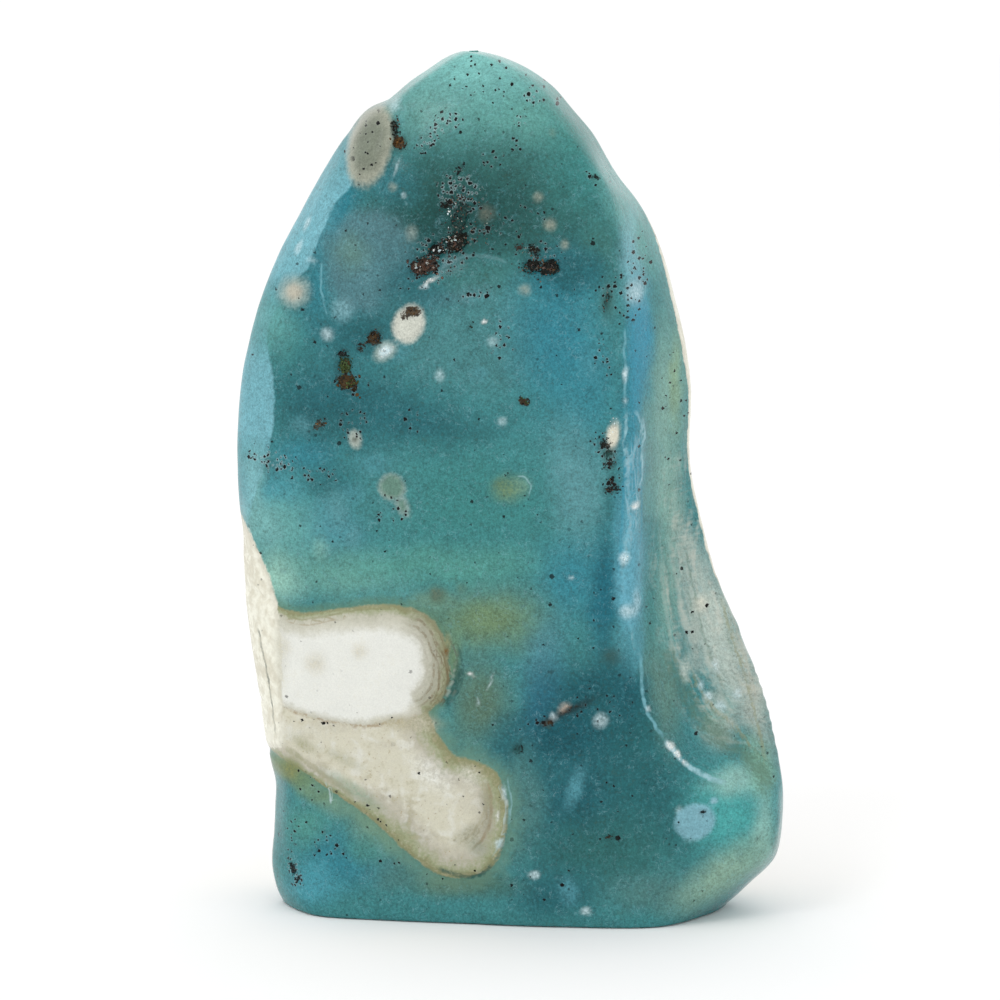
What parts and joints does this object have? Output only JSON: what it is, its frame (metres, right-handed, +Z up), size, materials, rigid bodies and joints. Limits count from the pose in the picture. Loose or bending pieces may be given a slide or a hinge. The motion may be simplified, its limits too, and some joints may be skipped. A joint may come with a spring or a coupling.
{
  "type": "polished hemimorphite freeform",
  "caption": "Polished free-standing freeform of blue-green hemimorphite with white and cream bodies, dark grains in small hollows, a scooped right side and a flat sawn base.",
  "frame": {"origin": "middle of the stone's footprint box, on the sawn base", "axes": "+Z up from the sawn base to the rounded top, -Y out of the polished face, +X to the right of somebody who looks at that face"},
  "size_m": [0.0548, 0.0269, 0.0856],
  "materials": {
    "polished_hemimorphite": "polished stone, blue-green to white, slightly translucent"
  },
  "bodies": {
    "root": {"stone": "polished_hemimorphite"}
  },
  "joints": []
}
